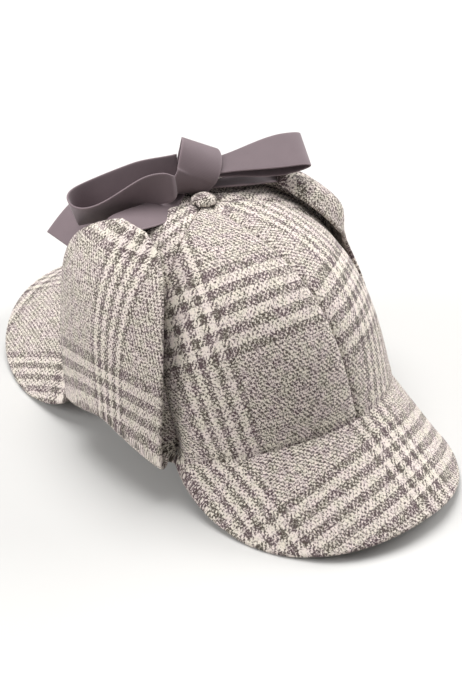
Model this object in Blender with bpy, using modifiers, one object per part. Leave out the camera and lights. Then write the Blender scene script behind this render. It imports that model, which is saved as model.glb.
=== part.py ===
"""Deerstalker hat: a six-panel crown, a brim at the front and at the back, and two ear flaps.

The flaps are folded up against the crown and tied together over it with a ribbon bow. Units are
metres, +Z is up, the wearer faces -Y, and the wearer's right side is -X. The hat rests on its
brims, and its origin is the middle of its footprint on the surface that it stands on.
"""

from math import cos, degrees, exp, hypot, pi, radians, sin, tan

import bmesh
import bpy
from mathutils import Vector

MM = 0.001
UP = Vector((0, 0, 1))

# --- Driving dimensions -------------------------------------------------------------------------
# The rim is the ellipse where the crown's outer face meets the brims.
RIM_HALF_WIDTH = 0.0810
RIM_HALF_LENGTH = 0.0970
RIM_ARCH = 0.0242           # how far the rim rises in the middle of each brim
RIM_SIDE_RISE = 0.0165      # and in the middle of each side
RIM_SOFTNESS = 0.06         # how softly those arches meet
RIM_CORNER_DROP = RIM_SOFTNESS / 2 * (RIM_ARCH + RIM_SIDE_RISE)
RIM_TILT = radians(2.7)     # the rim is this much lower at the front
BRIM_HALF_TURN = radians(66)  # each brim spans this far to both sides of its middle

CROWN_HEIGHT = 0.1043       # from the rim's lowest corners to the top
CROWN_TOP = (-0.003, 0.015)  # the top leans this far from the rim's centre
CROWN_PLAN_ROUNDNESS = 2.50  # exponents of the crown's rounded outline: 2 is an ellipse
CROWN_SIDE_ROUNDNESS = 3.00
CROWN_TAPER = 0.03          # how much narrower than that outline its sides are half way up
PANEL_WALL = 0.002
PANEL_FULLNESS = 0.0012     # how far each panel swells out between its seams
PANEL_TOP_RISE = radians(88.7)
# The crown's panels and the turn of the seam where each of them starts (degrees from the front).
PANELS = (
    ("crown_panel_front_right", -4),
    ("crown_panel_side_right", 66),
    ("crown_panel_back_right", 121),
    ("crown_panel_back_left", 176),
    ("crown_panel_side_left", 236),
    ("crown_panel_front_left", 291),
)

SEAM_GAP = 0.0003           # between sewn pieces
BUTTON_RADIUS = 0.0068
BUTTON_HEIGHT = 0.0048

BRIM_THICKNESS = 0.003
BRIM_END = 0.005            # width of a brim where it runs out at the side
REST_HEIGHT = -0.0239       # the surface that the brims rest on, below the rim's centre
REST_TILT = radians(0.74)    # and how much it rises towards the back of the hat
REST_SOFTNESS = 0.0010      # height over which a brim flattens where it rests

FLAP_THICKNESS = 0.0025
FLAP_LEG = 0.003            # how far a flap's sewn edge overlaps the crown
FLAP_START = 0.5            # where its standing part starts above the fold, in degrees of rise

RIBBON_WIDTH = 0.021
RIBBON_THICKNESS = 0.001

# Each brim: its reach from the rim, its slope in the middle, how much steeper it gets at its ends,
# how far its grain runs straight ahead instead of square to the rim, and its outline's two powers.
BRIM_COLUMNS = ("reach", "slope", "end_slope", "straightness", "fullness", "corner")
FRONT_BRIM = dict(zip(BRIM_COLUMNS, (0.0637, radians(34.6), radians(9.5), 0.76, 3.45, 1.71)))
BACK_BRIM = dict(zip(BRIM_COLUMNS, (0.0665, radians(28.8), radians(24.8), 0.62, 3.35, 1.71)))

# Each flap, from its fold upwards: rise on the crown (degrees), front and back edge (degrees from
# the hat's front), and how far it stands off the crown at its front and its back edge (mm).
FLAP_COLUMNS = ("rise", "front", "back", "front_gap", "back_gap")
RIGHT_FLAP = (
    (0, 66.6, 113.0, 6.8, 6.4),
    (12, 63.5, 115.5, 8.8, 5.9),
    (25, 62.0, 117.5, 9.8, 6.8),
    (40, 62.0, 119.0, 11.0, 11.0),
    (50, 63.5, 116.5, 12.0, 13.4),
    (57, 68.0, 109.5, 12.5, 13.4),
    (61, 75.0, 104.0, 13.0, 13.6),
    (63, 81.0, 100.0, 13.5, 13.8),
)
LEFT_FLAP = (
    (0, 67.0, 113.0, 6.8, 6.8),
    (12, 73.0, 115.5, 6.2, 6.2),
    (25, 76.0, 117.5, 7.5, 7.5),
    (38, 75.0, 117.5, 14.8, 11.0),
    (50, 75.0, 117.0, 13.8, 12.0),
    (56, 77.0, 113.0, 11.2, 11.0),
    (60, 81.0, 107.0, 9.8, 10.0),
    (61.5, 85.0, 102.0, 9.4, 9.6),
)

# The bow, in millimetres from the rim's centre.
KNOT_CENTRE = Vector((1.0, 27.4, 116.8)) * MM
BOW_AXIS = Vector((0.920, -0.392, 0)).normalized()
KNOT_HALF_HEIGHT = 0.0122
KNOT_DROP = 0.0106          # from its middle down to its underside
KNOT_HALF_DEPTH = 0.0070
KNOT_SKEW = 0.40            # the knot's top leans along the bow by this part of its height

# Each loop: its direction along the bow, its reach, how far its end drops and sweeps back, half of
# its opening, how far the ribbon leans back at the knot and at the end, how far it starts above the
# knot's middle, its width there as part of the whole, and the length over which it spreads.
LOOP_COLUMNS = ("direction", "reach", "drop", "sweep", "opening",
                "lean", "end_lean", "root_lift", "root_width", "spread")
RIGHT_LOOP = dict(zip(LOOP_COLUMNS, (-1, 0.0692, 0.0147, 0.0030, 0.0054,
                                     radians(12), radians(-16), 0.0027, 0.78, 0.022)))
LEFT_LOOP = dict(zip(LOOP_COLUMNS, (1, 0.0624, -0.0020, 0.0000, 0.0031,
                                    radians(60), radians(60), 0.0, 0.48, 0.044)))
LOOP_ROOT = 0.0085          # where a loop starts inside the knot, from the knot's middle
LOOP_ROOT_GAP = 0.0016      # from the bow's middle to each of its walls there

# Loose stretches of ribbon, point by point (mm): place, width and how far the ribbon leans on edge.
RIBBON_COLUMNS = ("x", "y", "z", "width", "lean")
RIGHT_TAIL = (
    (-3.7, 32.4, 112.2, 6, 75),
    (-9.0, 35.9, 111.5, 7, 70),
    (-13, 46.5, 109.8, 13, 35),
    (-26, 59.5, 103, 19, 15),
    (-43, 65.5, 94.3, 21, 12),
    (-61, 66, 81, 21, 12),
)
LEFT_TAIL = (
    (8.7, 26.6, 110.3, 6.0, 0),
    (15.0, 27.0, 110.0, 7, 0),
    (22.5, 33, 109.2, 12, 0),
    (31, 47, 104, 19, 0),
    (42, 60, 95, 21, 0),
    (54, 70, 82, 21, 0),
)
RIGHT_TIE_END = (
    (-33, 22, 105.4, 17, 0),
    (-22.2, 28.3, 105.0, 9, 0),
    (-13.2, 32.1, 107.8, 5.0, 0),
    (-4.9, 29.4, 108.1, 5.5, 0),
)
LEFT_TIE_END = (
    (30, 16.5, 106.8, 18, 0),
    (14, 20, 107.8, 9, 0),
    (6.5, 22.8, 108.0, 5.5, 0),
)
TIE_HOLLOW = 0.0022         # between the middle of a tie and the hollow inside of its flap
TIE_TURN = {"right": radians(101), "left": radians(94)}   # where on its flap each tie is sewn

TWEED = (0.36, 0.32, 0.29)
RIBBON = (0.13, 0.10, 0.10)


# --- The hat's surfaces ---------------------------------------------------------------------------
def above_zero(value):
    """The value where it is positive and 0 elsewhere, with a soft bend between them."""
    return (value + hypot(value, RIM_SOFTNESS)) / 2


def rim_height(turn):
    """Height of the rim: arched over both brims and over both sides, lowest at their corners."""
    ahead = hypot(cos(turn), RIM_SOFTNESS)
    corner = cos(BRIM_HALF_TURN)
    arch = above_zero((ahead - corner) / (1 - corner))
    side = above_zero((corner - ahead) / corner)
    tilt = -RIM_HALF_LENGTH * cos(turn) * tan(RIM_TILT)
    return RIM_ARCH * arch + RIM_SIDE_RISE * side + tilt - RIM_CORNER_DROP


def crown_form(turn, rise):
    """Smooth form of the crown, without the fullness of its panels."""
    shrink = max(cos(rise), 0.0) ** (2 / CROWN_PLAN_ROUNDNESS)
    lift = sin(rise) ** (2 / CROWN_SIDE_ROUNDNESS)
    shrink *= 1 - 4 * CROWN_TAPER * lift * (1 - lift)
    return Vector((
        -RIM_HALF_WIDTH * shrink * sin(turn) + CROWN_TOP[0] * lift,
        -RIM_HALF_LENGTH * shrink * cos(turn) + CROWN_TOP[1] * lift,
        rim_height(turn) * (1 - lift) + CROWN_HEIGHT * lift,
    ))


def surface_normal(surface, u, v, step=0.01):
    """Unit normal of surface(u, v), from its neighbouring points."""
    along = surface(u + step, v) - surface(u - step, v)
    across = surface(u, v + step) - surface(u, v - step)
    return along.cross(across).normalized()


def crown_normal(turn, rise):
    """Outward normal of the crown."""
    safe_rise = min(max(rise, radians(2)), radians(86))
    return -surface_normal(crown_form, turn, safe_rise)


def panel_span(index):
    """The turns at which a panel starts and ends."""
    start, end = PANELS[index][1], PANELS[(index + 1) % len(PANELS)][1]
    return radians(start), radians(end if end > start else end + 360)


def crown_face(turn, rise, outwards=0.0):
    """Point on the crown's outer face, or that far outside it."""
    for index in range(len(PANELS)):
        start, end = panel_span(index)
        place = (turn - start) % (2 * pi) / (end - start)
        if place <= 1:
            break
    fullness = PANEL_FULLNESS * sin(pi * place) * cos(rise)
    return off_crown(turn, rise, fullness + outwards)


def off_crown(turn, rise, distance):
    """Point that far outside the crown's smooth form."""
    return crown_form(turn, rise) + crown_normal(turn, rise) * distance


def wall_lean(turn, height):
    """How far the crown leans out over its rim at a small height above it."""
    lean = Vector((CROWN_TOP[0], CROWN_TOP[1], 0)).dot(rim_outward(turn))
    return max(0.0, lean / CROWN_HEIGHT * height * 1.3)


def rim_outward(turn):
    """Horizontal direction square to the rim, pointing out."""
    return Vector((-sin(turn) * RIM_HALF_LENGTH, -cos(turn) * RIM_HALF_WIDTH, 0)).normalized()


# --- Helpers --------------------------------------------------------------------------------------
def smooth_row(table, columns, key):
    """The table's row at key, a value of its first column, on a smooth curve through its rows."""
    keys = [row[0] for row in table]
    key = min(max(key, keys[0]), keys[-1])
    index = max(i for i in range(len(keys) - 1) if keys[i] <= key or i == 0)
    before, start = table[max(index - 1, 0)], table[index]
    end, after = table[index + 1], table[min(index + 2, len(table) - 1)]
    part = (key - start[0]) / (end[0] - start[0])
    row = {}
    for column, a, b, c, d in zip(columns, before, start, end, after):
        row[column] = 0.5 * (
            2 * b + (c - a) * part
            + (2 * a - 5 * b + 4 * c - d) * part ** 2
            + (3 * b - a - 3 * c + d) * part ** 3
        )
    return row


def cloth_material(name, colour, roughness):
    """A plain woven cloth."""
    material = bpy.data.materials.new(name)
    material.use_nodes = True
    shader = material.node_tree.nodes["Principled BSDF"]
    shader.inputs["Base Color"].default_value = (*colour, 1)
    shader.inputs["Roughness"].default_value = roughness
    shader.inputs["Metallic"].default_value = 0.0
    return material


def add_object(name, mesh_data, material):
    """Put a mesh in the hat's collection, shaded smooth."""
    mesh_data.materials.append(material)
    mesh_data.shade_smooth()
    mesh_data.set_sharp_from_angle(angle=radians(50))
    part = bpy.data.objects.new(name, mesh_data)
    bpy.data.collections["deerstalker_hat"].objects.link(part)
    return part


def cloth_sheet(name, columns, rows, shape, material):
    """A flat grid, doubled to a thin slab and bent: shape(u, v, face) places each of its points.

    u and v run from 0 to 1 over the cloth, and face is 0 on its inner and 1 on its outer side.
    """
    sheet = bmesh.new()
    bmesh.ops.create_grid(sheet, x_segments=columns, y_segments=rows, size=0.5)
    doubled = bmesh.ops.extrude_face_region(sheet, geom=sheet.faces[:], use_keep_orig=True)
    for item in doubled["geom"]:
        if isinstance(item, bmesh.types.BMVert):
            item.co.z = 1.0
    for vertex in sheet.verts:
        u, v, face = vertex.co
        vertex.co = shape(u + 0.5, v + 0.5, face)
    bmesh.ops.recalc_face_normals(sheet, faces=sheet.faces)
    if sheet.calc_volume(signed=True) < 0:
        bmesh.ops.reverse_faces(sheet, faces=sheet.faces)
    mesh_data = bpy.data.meshes.new(name)
    sheet.to_mesh(mesh_data)
    sheet.free()
    return add_object(name, mesh_data, material)


def ribbon_sheet(name, rows, path, width_at, side_at, material, square=True):
    """A ribbon along path(s), s from 0 to 1, spread to both sides along side_at(s), or square."""
    step = 0.004

    def shape(u, v, face):
        ahead, behind = min(v + step, 1.0), max(v - step, 0.0)
        tangent = (path(ahead) - path(behind)).normalized()
        side = side_at(v)
        if square:
            side = (side - tangent * side.dot(tangent)).normalized()
        normal = tangent.cross(side).normalized()
        return path(v) + side * (u - 0.5) * width_at(v) + normal * (face - 0.5) * RIBBON_THICKNESS

    return cloth_sheet(name, 2, rows, shape, material)


# --- The crown --------------------------------------------------------------------------------------
def make_crown_panel(index, material):
    """One of the crown's six tapered panels, from the rim up to the button."""
    start, end = panel_span(index)

    def shape(u, v, face):
        rise = PANEL_TOP_RISE * v
        middle = crown_form((start + end) / 2, rise)
        lift = sin(rise) ** (2 / CROWN_SIDE_ROUNDNESS)
        radius = hypot(middle.x - CROWN_TOP[0] * lift, middle.y - CROWN_TOP[1] * lift)
        inset = SEAM_GAP / 2 / radius
        turn = start + inset + u * (end - start - 2 * inset)
        return crown_face(turn, rise, (face - 1) * PANEL_WALL)

    cloth_sheet(PANELS[index][0], 8, 14, shape, material)


def make_crown_button(material):
    """The covered button on the crown's top, turned from a domed profile."""
    profile = bpy.data.meshes.new("crown_button")
    outline = bmesh.new()
    steps = 7
    points = [outline.verts.new((0, 0, BUTTON_HEIGHT))]
    for step in range(1, steps + 1):
        angle = pi / 2 * (1 - step / steps)
        points.append(outline.verts.new((
            BUTTON_RADIUS * cos(angle), 0, BUTTON_HEIGHT * (0.3 + 0.7 * sin(angle)))))
    points.append(outline.verts.new((BUTTON_RADIUS * 0.86, 0, 0)))
    points.append(outline.verts.new((0, 0, 0)))
    for first, second in zip(points, points[1:]):
        outline.edges.new((first, second))
    outline.to_mesh(profile)
    outline.free()
    button = add_object("crown_button", profile, material)
    button.location = (*CROWN_TOP, CROWN_HEIGHT + SEAM_GAP)
    turned = button.modifiers.new("turned", "SCREW")
    turned.steps = turned.render_steps = 20
    turned.use_merge_vertices = True
    turned.merge_threshold = 0.00002


# --- The brims --------------------------------------------------------------------------------------
def brim_top(brim, middle_turn, place, outwards):
    """Point on a brim's upper face: place from -1 to 1 along the rim, outwards from 0 to 1."""
    turn = middle_turn + place * BRIM_HALF_TURN
    ahead = Vector((0, -cos(middle_turn), 0))
    grain = rim_outward(turn).lerp(ahead, brim["straightness"]).normalized()
    share = max(0.0, 1 - abs(place) ** brim["fullness"]) ** (1 / brim["corner"])
    reach = (BRIM_END + (brim["reach"] - BRIM_END) * share) * outwards
    slope = brim["slope"] + brim["end_slope"] * place ** 2
    clearance = SEAM_GAP + wall_lean(turn, BRIM_THICKNESS)
    root = crown_face(turn, 0.0) + rim_outward(turn) * clearance + UP * BRIM_THICKNESS * 0.8
    point = root + grain * reach * cos(slope) - UP * reach * sin(slope)
    lowest = REST_HEIGHT + point.y * tan(REST_TILT) + BRIM_THICKNESS
    if point.z < lowest + REST_SOFTNESS:
        point.z = lowest + REST_SOFTNESS * exp((point.z - lowest - REST_SOFTNESS) / REST_SOFTNESS)
    return point


def make_brim(name, brim, middle_turn, material):
    """A stitched brim, cut upright where it meets the crown."""
    def shape(u, v, face):
        place = sin((u - 0.5) * pi) * 0.55 + (u - 0.5) * 2 * 0.45
        top = brim_top(brim, middle_turn, place, v)
        if face > 0.5:
            return top
        inner = min(max(v, 0.02), 0.98)
        along = min(max(place, -0.98), 0.98)
        step = 0.02
        across = (brim_top(brim, middle_turn, along + step, inner)
                  - brim_top(brim, middle_turn, along - step, inner))
        outwards = (brim_top(brim, middle_turn, along, inner + step)
                    - brim_top(brim, middle_turn, along, inner - step))
        normal = across.cross(outwards).normalized()
        normal = normal if normal.z > 0 else -normal
        square = min(1.0, v / 0.12) * (1 - abs(place) ** 8)
        return top - UP.lerp(normal, square).normalized() * BRIM_THICKNESS

    cloth_sheet(name, 22, 8, shape, material)


# --- The ear flaps ----------------------------------------------------------------------------------
def flap_centre(table, side, u, height):
    """Point in the middle of a flap's cloth: u from its front to its back edge, height in degrees."""
    row = smooth_row(table, FLAP_COLUMNS, height)
    turn = side * radians(row["front"] + (row["back"] - row["front"]) * u)
    gap = (row["front_gap"] + (row["back_gap"] - row["front_gap"]) * u) * MM
    return off_crown(turn, radians(height), gap)


def flap_section(table, side, u, v):
    """The whole flap: a leg along the crown, the fold under the rim, and the standing part."""
    leg_end, fold_end = 0.06, 0.30
    base = flap_centre(table, side, u, 0)
    row = smooth_row(table, FLAP_COLUMNS, 0)
    turn = side * radians(row["front"] + (row["back"] - row["front"]) * u)
    root = crown_face(turn, 0.0, SEAM_GAP + wall_lean(turn, 2 * FLAP_LEG) + FLAP_THICKNESS / 2)
    outwards = rim_outward(turn)
    radius = (base - root).dot(outwards) / 2
    root += UP * radius
    if v < leg_end:
        return root + UP * FLAP_LEG * (1 - v / leg_end)
    if v < fold_end:
        angle = pi * (v - leg_end) / (fold_end - leg_end)
        return root + outwards * radius * (1 - cos(angle)) - UP * radius * sin(angle)
    height = FLAP_START + (v - fold_end) / (1 - fold_end) * (table[-1][0] - FLAP_START)
    return flap_centre(table, side, u, height)


def make_ear_flap(name, table, side, material):
    """An ear flap, folded up against the crown."""
    def shape(u, v, face):
        def surface(a, b):
            return flap_section(table, side, a, min(max(b, 0.0), 1.0))

        normal = surface_normal(surface, min(max(u, 0.01), 0.99), min(max(v, 0.01), 0.99)) * side
        return surface(u, v) + normal * (face - 0.5) * FLAP_THICKNESS

    cloth_sheet(name, 12, 20, shape, material)


# --- The bow ----------------------------------------------------------------------------------------
def bow_frame():
    """The bow's directions: along it, and level across it towards the back."""
    return BOW_AXIS, Vector((-BOW_AXIS.y, BOW_AXIS.x, 0))


def make_bow_knot(material):
    """A flat ribbon wrapped once round the middle of the bow, open at both ends."""
    along, back = bow_frame()
    lean = UP + along * KNOT_SKEW
    open_angle = radians(5)

    def path(s):
        angle = -pi / 2 + open_angle + s * (2 * pi - 2 * open_angle)
        flat = abs(cos(angle)) ** 0.6 * (1 if cos(angle) > 0 else -1)
        steep = abs(sin(angle)) ** 0.9 * (1 if sin(angle) > 0 else -1)
        height = KNOT_HALF_HEIGHT if steep > 0 else KNOT_DROP
        return KNOT_CENTRE - back * KNOT_HALF_DEPTH * flat + lean * height * steep

    def side_at(s):
        angle = -pi / 2 + s * 2 * pi
        tilt = radians(14 + 14 * sin(angle))
        return along * cos(tilt) - UP * sin(tilt)

    def width_at(s):
        angle = -pi / 2 + s * 2 * pi
        return RIBBON_WIDTH * (1.00 + 0.10 * sin(angle) + 0.10 * cos(angle))

    ribbon_sheet("bow_knot", 32, path, width_at, side_at, material)


def make_bow_loop(name, loop, material):
    """A loop of the bow: out of the knot, round its end, and back into the knot."""
    along, back = bow_frame()
    out = along * loop["direction"]

    def share_at(s):
        return max(sin(pi * s), 0.0) ** 0.75

    def lean_at(s):
        return loop["lean"] + (loop["end_lean"] - loop["lean"]) * share_at(s)

    def path(s):
        share = share_at(s)
        across = back * cos(lean_at(s)) - UP * sin(lean_at(s))
        reach = LOOP_ROOT + (loop["reach"] - LOOP_ROOT) * share
        apart = loop["opening"] * (sin(2 * pi * s) + 0.10 * sin(4 * pi * s))
        apart += LOOP_ROOT_GAP * (1 - 2 * s)
        lift = loop["root_lift"] * (1 - share) - loop["drop"] * share ** 1.25
        return KNOT_CENTRE + out * reach - across * apart + back * loop["sweep"] * share + UP * lift

    def side_at(s):
        return UP * cos(lean_at(s)) + back * sin(lean_at(s))

    def width_at(s):
        share = min(1.0, (loop["reach"] - LOOP_ROOT) * share_at(s) / loop["spread"])
        eased = share * share * (3 - 2 * share)
        return RIBBON_WIDTH * (loop["root_width"] + (1 - loop["root_width"]) * eased)

    ribbon_sheet(name, 36, path, width_at, side_at, material, square=False)


def make_loose_ribbon(name, table, material):
    """A stretch of ribbon through the points of its table."""
    count = len(table) - 1
    keyed = [(index, *row) for index, row in enumerate(table)]

    def row_at(s):
        return smooth_row(keyed, ("key", *RIBBON_COLUMNS), s * count)

    def path(s):
        row = row_at(s)
        return Vector((row["x"], row["y"], row["z"])) * MM

    def side_at(s):
        ahead = path(min(s + 0.01, 1.0)) - path(max(s - 0.01, 0.0))
        level = ahead.cross(UP).normalized()
        lean = radians(row_at(s)["lean"])
        return level * cos(lean) + UP * sin(lean)

    ribbon_sheet(name, 6 * count, path, lambda s: row_at(s)["width"] * MM, side_at, material)


def make_tie_ribbon(name, flap, side, turn, ends, material):
    """The ribbon from the inside of a flap's top to the knot."""
    inside = FLAP_THICKNESS / 2 + TIE_HOLLOW + RIBBON_THICKNESS / 2
    points = []
    for height in (50, 56, 62):
        row = smooth_row(flap, FLAP_COLUMNS, height)
        share = (degrees(turn) - row["front"]) / (row["back"] - row["front"])
        gap = (row["front_gap"] + (row["back_gap"] - row["front_gap"]) * share) * MM
        place = off_crown(side * turn, radians(height), gap - inside) / MM
        points.append((*place, RIBBON_WIDTH / MM, 0))
    make_loose_ribbon(name, (*points, *ends), material)


# --- The whole hat ----------------------------------------------------------------------------------
def stand_on_origin(collection):
    """Parent the hat to one empty, which stands it level with its footprint's middle on the origin."""
    stand = bpy.data.objects.new("hat_stand_point", None)
    stand.rotation_euler.x = -REST_TILT
    for part in collection.objects:
        part.parent = stand
    collection.objects.link(stand)
    bpy.context.view_layer.update()
    depsgraph = bpy.context.evaluated_depsgraph_get()
    corners = []
    for part in stand.children:
        evaluated = part.evaluated_get(depsgraph)
        mesh_data = evaluated.to_mesh()
        corners += [evaluated.matrix_world @ vertex.co for vertex in mesh_data.vertices]
        evaluated.to_mesh_clear()
    low = [min(corner[axis] for corner in corners) for axis in range(3)]
    high = [max(corner[axis] for corner in corners) for axis in range(3)]
    stand.location = (-(low[0] + high[0]) / 2, -(low[1] + high[1]) / 2, -low[2])
    bpy.context.view_layer.update()


def make_hat():
    """Build every piece of the hat."""
    for item in list(bpy.data.objects):
        bpy.data.objects.remove(item)
    collection = bpy.data.collections.new("deerstalker_hat")
    bpy.context.scene.collection.children.link(collection)

    crown_tweed = cloth_material("crown_tweed", TWEED, 0.9)
    button_tweed = cloth_material("button_tweed", TWEED, 0.9)
    brim_tweed = cloth_material("brim_tweed", TWEED, 0.9)
    flap_tweed = cloth_material("flap_tweed", TWEED, 0.9)
    ribbon = cloth_material("ribbon", RIBBON, 0.6)

    for index in range(len(PANELS)):
        make_crown_panel(index, crown_tweed)
    make_crown_button(button_tweed)
    make_brim("front_brim", FRONT_BRIM, 0.0, brim_tweed)
    make_brim("back_brim", BACK_BRIM, pi, brim_tweed)
    make_ear_flap("ear_flap_right", RIGHT_FLAP, 1, flap_tweed)
    make_ear_flap("ear_flap_left", LEFT_FLAP, -1, flap_tweed)
    make_tie_ribbon("tie_ribbon_right", RIGHT_FLAP, 1, TIE_TURN["right"], RIGHT_TIE_END, ribbon)
    make_tie_ribbon("tie_ribbon_left", LEFT_FLAP, -1, TIE_TURN["left"], LEFT_TIE_END, ribbon)
    make_bow_knot(ribbon)
    make_bow_loop("bow_loop_right", RIGHT_LOOP, ribbon)
    make_bow_loop("bow_loop_left", LEFT_LOOP, ribbon)
    make_loose_ribbon("bow_tail_right", RIGHT_TAIL, ribbon)
    make_loose_ribbon("bow_tail_left", LEFT_TAIL, ribbon)
    stand_on_origin(collection)


make_hat()
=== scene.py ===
"""Deerstalker hat of checked wool tweed, with a brim at the front and at the back.

Its two ear flaps are folded up and tied together over the crown with a ribbon bow. Every piece is
modelled in the hat's own directions, in metres: the middle of the crown's rim is at (0, 0, 0), the
wearer faces -Y, and the wearer's right side is -X. One matrix then stands the hat on its brims.
"""

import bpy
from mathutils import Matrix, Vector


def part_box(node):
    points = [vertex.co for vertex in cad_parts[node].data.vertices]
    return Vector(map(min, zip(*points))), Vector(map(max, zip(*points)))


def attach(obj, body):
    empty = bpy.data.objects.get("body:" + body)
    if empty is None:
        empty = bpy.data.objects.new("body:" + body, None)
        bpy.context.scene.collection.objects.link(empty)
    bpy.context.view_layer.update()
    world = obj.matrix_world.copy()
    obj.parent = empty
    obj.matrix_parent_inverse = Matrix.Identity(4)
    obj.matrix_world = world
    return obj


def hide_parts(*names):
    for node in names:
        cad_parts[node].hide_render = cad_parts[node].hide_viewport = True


bl_info = {
    "name": "Deerstalker Hat",
    "version": (1, 0, 0),
    "blender": (4, 5, 0),
    "location": "3D View > Sidebar > Hat",
    "description": "Builds a checked tweed deerstalker hat and a pale stage to show it on",
    "category": "Add Mesh",
}

import bmesh
import bpy
import numpy as np
from bpy.props import FloatProperty, FloatVectorProperty, PointerProperty
from math import cos, pi, radians, sin, tan
from mathutils import Matrix, Vector, noise
from mathutils.kdtree import KDTree

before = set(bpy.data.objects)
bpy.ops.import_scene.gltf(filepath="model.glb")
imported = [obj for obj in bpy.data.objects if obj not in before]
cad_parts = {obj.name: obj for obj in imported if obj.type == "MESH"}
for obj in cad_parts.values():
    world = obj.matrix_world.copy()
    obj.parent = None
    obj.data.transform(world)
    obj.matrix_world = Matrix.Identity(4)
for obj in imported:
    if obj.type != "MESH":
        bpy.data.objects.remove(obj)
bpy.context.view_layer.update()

MM = 0.001
UP = np.array((0.0, 0.0, 1.0))


def rgb(hex_colour):
    """Linear red, green and blue of an sRGB hex colour."""
    values = [int(hex_colour[start:start + 2], 16) / 255 for start in (1, 3, 5)]
    return [v / 12.92 if v <= 0.04045 else ((v + 0.055) / 1.055) ** 2.4 for v in values]


# --- Fixed shapes, in metres ----------------------------------------------------------------------
# The rim: how high it arches over the brims and over the sides, how softly it turns between them,
# and its tilt to the front. Its corners lie at the brims' ends.
RIM_ARCH, RIM_SIDE_RISE, RIM_SOFTNESS = 0.0242, 0.0165, 0.06
RIM_CORNER_DROP = RIM_SOFTNESS / 2 * (RIM_ARCH + RIM_SIDE_RISE)
RIM_TILT = radians(2.7)
BRIM_HALF_TURN = radians(66)

# The crown: where its top lies, the powers of its outline from above and from the side, how much it
# narrows halfway up, and how many times its whole lean its foot leans out. Its panels: how far they
# swell out between their seams, where they stop under the button, and how far in their edges round.
CROWN_TOP = (-0.003, 0.015)
CROWN_PLAN_ROUNDNESS, CROWN_SIDE_ROUNDNESS, CROWN_TAPER, FOOT_LEAN = 2.50, 3.00, 0.03, 1.3
PANEL_FULLNESS, PANEL_TOP_RISE, PANEL_EDGE = 0.0012, radians(88.7), 0.0007

# The button: its radius, its height, how far it stands off the crown, and the shares of its height
# below and above its widest place. How deep and how close its lumps are, how far up its gathers
# end, and their depth, number and start. How much larger its cloth is cut than it looks from above,
# and from which place of the check (mm).
BUTTON_RADIUS, BUTTON_HEIGHT, BUTTON_LIFT, BUTTON_BELOW, BUTTON_ABOVE = (
    0.0068, 0.0048, 0.0003, 0.28, 0.74)
BUTTON_LUMPS, BUTTON_GATHER_END = (0.05, 2.1), 0.75
BUTTON_GATHERS = ((0.035, 9, 0.0), (0.025, 14, 1.3))
BUTTON_CUT_EASE, BUTTON_CUT_PLACE = 1.15, (4, 2)

# The brims: their reach at their ends, how far their root is tucked into the crown's face, how far
# above the rim their top starts (in thicknesses), how much closer their mesh is towards their ends,
# and the level at which the hat rests on them.
BRIM_END, BRIM_TUCK, BRIM_LIFT, BRIM_CLOSENESS = 0.005, 0.0014, 0.8, 0.55
REST_HEIGHT, REST_TILT, REST_SOFTNESS = -0.0239, radians(0.74), 0.0010

# The flaps: the height of the sewn leg beside the crown and its gap to it, the rise at which a flap
# starts to stand (degrees), and the shares of its cloth at which the leg and the fold end. The
# share of its cloth from which it grows more uneven, and how uneven it is up to there.
FLAP_LEG, FLAP_LEG_GAP, FLAP_START, FLAP_LEG_END, FLAP_FOLD_END = 0.003, 0.0003, 0.5, 0.06, 0.30
FLAP_LOOSE_FROM, FLAP_LEAST_LOOSE = 0.55, 0.4

# Low relief beside a seam or edge: its height, its distance from there and its half width.
PANEL_SEAM, PANEL_EASE = (-0.0007, 0.0, 0.0016), (0.0003, 0.0045, 0.0025)
RIM_TUCK, RIM_ROLL = (-0.0012, 0.0028, 0.0010), (0.0004, 0.0052, 0.0016)
BRIM_STITCHES = (-0.00022, 0.0042, 0.0008)

# The hollow that each folded flap presses into the crown at the rim's front corner: its depth, its
# turn from the front and its spread (degrees), its height, and how far above the rim it is full.
HOLLOW_DEPTH, HOLLOW_TURN, HOLLOW_SPREAD = -0.0095, 66.5, 4.0
HOLLOW_HEIGHT, HOLLOW_START = 0.030, 0.004

# Soft unevenness of each kind of piece: its height and the size of its bumps.
PANEL_WAVES, BRIM_WAVES, FLAP_WAVES = (0.0004, 0.030), (0.0005, 0.040), (0.0009, 0.026)

# How the check lies on a piece's flat cut: how far its warp leans and its weft climbs in the middle
# (mm a mm), how fast both change from side to side (a mm), how many times its own size the cloth
# is eased to (below 0 where it is counted from the other side), where its first dark stripes lie
# (mm), and how fast the bow fades along it (a mm).
GRAIN_COLUMNS = ("warp_lean", "weft_climb", "warp_fan", "weft_bow", "ease_across", "ease_along",
                 "warp_shift", "weft_shift", "bow_fade")


def grain(*row):
    """A row of how the check lies; what it leaves out is 0."""
    return dict(zip(GRAIN_COLUMNS, (*row, 0)))


# The crown's panels: the turn from the front where each starts, in degrees, and its check.
PANELS = (
    ("crown_panel_front_right", -4,
     grain(0.0950, -0.1008, -0.00045, 0.00019, 0.989, 0.965, -3.4, -54.1, -0.0052)),
    ("crown_panel_side_right", 66, grain(0, 0, 0, 0, 1, 1, 20.0, -30.0)),
    ("crown_panel_back_right", 121, grain(0, 0, 0, 0, 1, 1, 10.0, -55.0)),
    ("crown_panel_back_left", 176, grain(0, 0, 0, 0, 1, 1, 30.0, -55.0)),
    ("crown_panel_side_left", 236, grain(0, 0, 0, 0, 1, 1, 0.0, -30.0)),
    ("crown_panel_front_left", 291,
     grain(-0.278, 0.0665, 0.0004, -0.0024, 1.095, 0.983, -11.2, -37.1)),
)

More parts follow.
